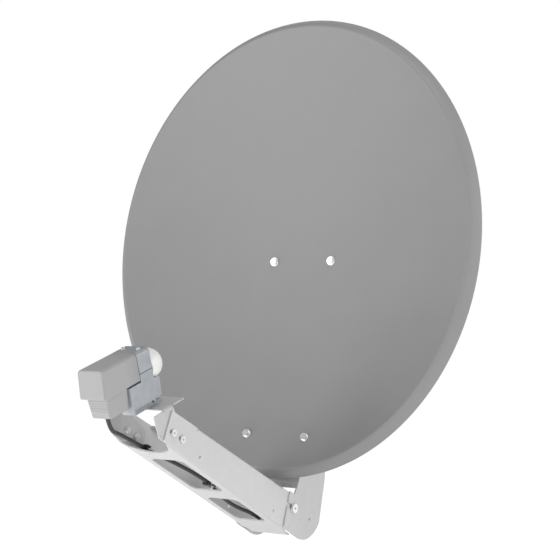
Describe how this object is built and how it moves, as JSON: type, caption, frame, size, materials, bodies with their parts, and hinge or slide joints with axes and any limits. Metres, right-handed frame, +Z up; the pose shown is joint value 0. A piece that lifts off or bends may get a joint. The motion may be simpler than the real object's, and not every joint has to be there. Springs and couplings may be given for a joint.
{
  "type": "satellite dish",
  "caption": "Offset satellite dish with a slotted elevation bracket, a V-jaw mast clamp, a folding channel arm and a horn-fed converter under a pull-off weather hood.",
  "frame": {"origin": "on the mast's axis, at the middle of the clamp's height", "axes": "+Z up the mast, the dish facing -Y, +X to the right as seen looking along +Y at the front of the dish"},
  "size_m": [0.7863, 0.8498, 0.9886],
  "materials": {
    "reflector_coat": "satin powder coat over pressed sheet",
    "frame_coat": "satin powder coat",
    "arm_coat": "satin powder coat",
    "galvanised": "dull hot-dip galvanised",
    "zinc": "bright zinc plate",
    "nickel": "nickel plate",
    "die_cast": "fine-blasted die casting",
    "cap_white": "white moulded",
    "hood_grey": "fine-grained light grey moulded",
    "black_plastic": "black moulded",
    "rubber_seal": "matte",
    "lead_jacket": "smooth dark jacket",
    "board_green": "solder mask",
    "gold_wire": "gold flash"
  },
  "bodies": {
    "bracket": {"mast_bracket": "galvanised", "elevation_pivot_bolt": "zinc", "elevation_pivot_nut": "zinc", "elevation_lock_bolt": "zinc", "elevation_lock_nut": "zinc", "bracket_spacer_tubes": "zinc", "elevation_washers": "zinc", "clamp_bolts": "zinc"},
    "clamp": {"upper_clamp_jaw": "galvanised", "lower_clamp_jaw": "galvanised", "clamp_washers": "zinc", "clamp_nuts": "zinc"},
    "dish": {"reflector": "reflector_coat", "reflector_bolts": "zinc", "reflector_spacers": "black_plastic", "reflector_nuts": "zinc", "rear_frame": "frame_coat", "frame_tie_tube": "zinc", "frame_tie_bolt": "zinc", "frame_tie_nut": "zinc"},
    "arm": {"arm_channel": "arm_coat", "arm_pivot_screws": "zinc", "arm_pivot_nuts": "zinc", "coax_lead": "lead_jacket", "cable_clips": "black_plastic", "cable_clip_screws": "zinc", "arm_f_plug": "nickel", "coax_coupler": "nickel", "coupler_bracket": "galvanised", "coupler_nut": "nickel"},
    "feed": {"feed_bracket": "arm_coat", "feed_bracket_screws": "zinc", "feed_bracket_nuts": "zinc", "foot_screws": "zinc", "lnb_lower_shell": "die_cast", "lnb_upper_shell": "die_cast", "shell_gasket": "rubber_seal", "shell_screws": "zinc", "feed_horn": "die_cast", "cap_seal": "rubber_seal", "feed_cap": "cap_white", "circuit_board": "board_green", "waveguide_probes": "gold_wire", "f_sockets": "nickel", "lnb_f_plug": "nickel", "socket_cap": "rubber_seal"},
    "hood": {"weather_hood": "hood_grey", "hood_grip_cover": "hood_grey"}
  },
  "joints": [
    {"name": "clamp_close", "type": "slide", "parent": "bracket", "child": "clamp", "axis": [0, 1, 0], "range_m": [-0.0146, 0.0366]},
    {"name": "elevation", "type": "hinge", "parent": "bracket", "child": "dish", "pos_m": [0, -0.112, -0.062], "axis": [-1, 0, 0], "range_deg": [-30.5, 14.5]},
    {"name": "arm_fold", "type": "hinge", "parent": "dish", "child": "arm", "pos_m": [0, -0.25518, -0.23586], "axis": [1, 0, 0], "range_deg": [0, 95]},
    {"name": "feed_shift", "type": "slide", "parent": "arm", "child": "feed", "axis": [0, 0.8874, -0.461], "range_m": [-0.005, 0.005], "deforming": ["coax_lead"]},
    {"name": "hood_pull", "type": "slide", "parent": "feed", "child": "hood", "axis": [0, -0.9593, -0.2823], "range_m": [0, 0.075]}
  ]
}
